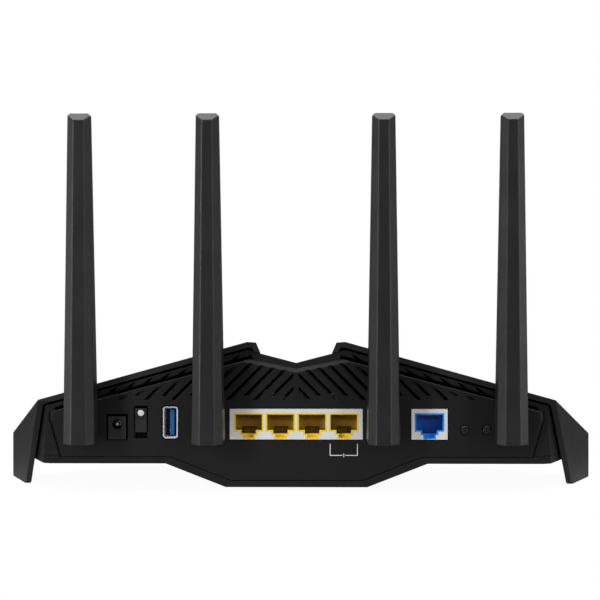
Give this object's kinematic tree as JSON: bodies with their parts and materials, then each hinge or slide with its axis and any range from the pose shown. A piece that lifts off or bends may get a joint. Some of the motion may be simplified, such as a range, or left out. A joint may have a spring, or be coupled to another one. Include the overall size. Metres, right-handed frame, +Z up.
{
  "type": "wireless router",
  "caption": "Low wedge-shaped wireless router with folded wing covers, a row of rear network sockets, a power inlet and switch, and upright antennas that swivel and fold.",
  "frame": {"origin": "on the table plane, under the centre of the whole object's box", "axes": "-Y is the side with the sockets, +Y the low front lip, +X to the right of someone facing the sockets, +Z up along the antennas"},
  "size_m": [0.2754, 0.184, 0.1652],
  "materials": {
    "case_plastic": "fine spark-eroded texture",
    "cover_plastic": "satin with a fine texture",
    "rubber": "matte",
    "board": "solder mask over glass fibre",
    "screw_steel": "zinc plated",
    "chip_black": "moulded package",
    "heat_sink_metal": "bare extruded",
    "plated_sheet": "nickel plated sheet",
    "capacitor_can": "sleeved can",
    "lamp": "diffusing",
    "light_guide": "clear moulding",
    "lan_plastic": "satin moulding",
    "wan_plastic": "satin moulding",
    "usb_plastic": "satin moulding",
    "gold_contact": "gold plated",
    "socket_black": "moulded",
    "pin_metal": "nickel plated",
    "button_plastic": "satin",
    "antenna_plastic": "satin",
    "swivel_plastic": "low-friction acetal",
    "radiator_board": "copper strip on a thin board",
    "coax_jacket": "smooth jacket"
  },
  "bodies": {
    "housing": {"bottom_case": "case_plastic", "upper_case": "case_plastic", "rear_panel": "case_plastic", "left_wing_cover": "cover_plastic", "right_wing_cover": "cover_plastic", "fin_strips": "rubber", "rubber_feet": "rubber", "main_board": "board", "board_screws": "screw_steel", "case_screws": "screw_steel", "processor_chips": "chip_black", "heat_sink": "heat_sink_metal", "rf_shields": "plated_sheet", "lan_transformers": "chip_black", "capacitors": "capacitor_can", "status_leds": "lamp", "status_light_pipe": "light_guide", "lan_shield": "plated_sheet", "lan_housing": "lan_plastic", "lan_contacts": "gold_contact", "wan_shield": "plated_sheet", "wan_housing": "wan_plastic", "wan_contacts": "gold_contact", "usb_shell": "plated_sheet", "usb_tongue": "usb_plastic", "usb_contacts": "gold_contact", "dc_jack_body": "socket_black", "dc_jack_pin": "pin_metal", "power_switch_housing": "socket_black", "tact_switches": "socket_black", "antenna_connectors": "gold_contact", "antenna_leads": "coax_jacket"},
    "outer_left_swivel": {"outer_left_swivel_base": "swivel_plastic", "outer_left_swivel_lead": "coax_jacket"},
    "outer_left_blade": {"outer_left_blade_front": "antenna_plastic", "outer_left_blade_back": "antenna_plastic", "outer_left_radiator": "radiator_board", "outer_left_hinge_pin": "pin_metal"},
    "inner_left_swivel": {"inner_left_swivel_base": "swivel_plastic", "inner_left_swivel_lead": "coax_jacket"},
    "inner_left_blade": {"inner_left_blade_front": "antenna_plastic", "inner_left_blade_back": "antenna_plastic", "inner_left_radiator": "radiator_board", "inner_left_hinge_pin": "pin_metal"},
    "inner_right_swivel": {"inner_right_swivel_base": "swivel_plastic", "inner_right_swivel_lead": "coax_jacket"},
    "inner_right_blade": {"inner_right_blade_front": "antenna_plastic", "inner_right_blade_back": "antenna_plastic", "inner_right_radiator": "radiator_board", "inner_right_hinge_pin": "pin_metal"},
    "outer_right_swivel": {"outer_right_swivel_base": "swivel_plastic", "outer_right_swivel_lead": "coax_jacket"},
    "outer_right_blade": {"outer_right_blade_front": "antenna_plastic", "outer_right_blade_back": "antenna_plastic", "outer_right_radiator": "radiator_board", "outer_right_hinge_pin": "pin_metal"},
    "power_rocker": {"power_rocker": "socket_black"},
    "wps_button": {"wps_button": "button_plastic"},
    "reset_button": {"reset_button": "button_plastic"}
  },
  "joints": [
    {"name": "outer_left_swivel_turn", "type": "hinge", "parent": "housing", "child": "outer_left_swivel", "pos_m": [-0.094, -0.074, 0.029], "axis": [0, 1, 0], "range_deg": [-90, 15]},
    {"name": "outer_left_blade_tilt", "type": "hinge", "parent": "outer_left_swivel", "child": "outer_left_blade", "pos_m": [-0.094, -0.084, 0.029], "axis": [1, 0, 0], "range_deg": [0, 90]},
    {"name": "inner_left_swivel_turn", "type": "hinge", "parent": "housing", "child": "inner_left_swivel", "pos_m": [-0.0383, -0.074, 0.029], "axis": [0, 1, 0], "range_deg": [-15, 15]},
    {"name": "inner_left_blade_tilt", "type": "hinge", "parent": "inner_left_swivel", "child": "inner_left_blade", "pos_m": [-0.0383, -0.084, 0.029], "axis": [1, 0, 0], "range_deg": [0, 90]},
    {"name": "inner_right_swivel_turn", "type": "hinge", "parent": "housing", "child": "inner_right_swivel", "pos_m": [0.0383, -0.074, 0.029], "axis": [0, 1, 0], "range_deg": [-15, 15]},
    {"name": "inner_right_blade_tilt", "type": "hinge", "parent": "inner_right_swivel", "child": "inner_right_blade", "pos_m": [0.0383, -0.084, 0.029], "axis": [1, 0, 0], "range_deg": [0, 90]},
    {"name": "outer_right_swivel_turn", "type": "hinge", "parent": "housing", "child": "outer_right_swivel", "pos_m": [0.094, -0.074, 0.029], "axis": [0, 1, 0], "range_deg": [-15, 90]},
    {"name": "outer_right_blade_tilt", "type": "hinge", "parent": "outer_right_swivel", "child": "outer_right_blade", "pos_m": [0.094, -0.084, 0.029], "axis": [1, 0, 0], "range_deg": [0, 90]},
    {"name": "power_rocker_tip", "type": "hinge", "parent": "housing", "child": "power_rocker", "pos_m": [-0.06845, -0.0706, 0.0316], "axis": [1, 0, 0], "range_deg": [-14, 0]},
    {"name": "wps_button_press", "type": "slide", "parent": "housing", "child": "wps_button", "axis": [0, 1, 0], "range_m": [0, 0.0008], "stiffness_N_per_m": 800, "springref_m": -0.0005},
    {"name": "reset_button_press", "type": "slide", "parent": "housing", "child": "reset_button", "axis": [0, 1, 0], "range_m": [0, 0.0008], "stiffness_N_per_m": 800, "springref_m": -0.0005}
  ]
}
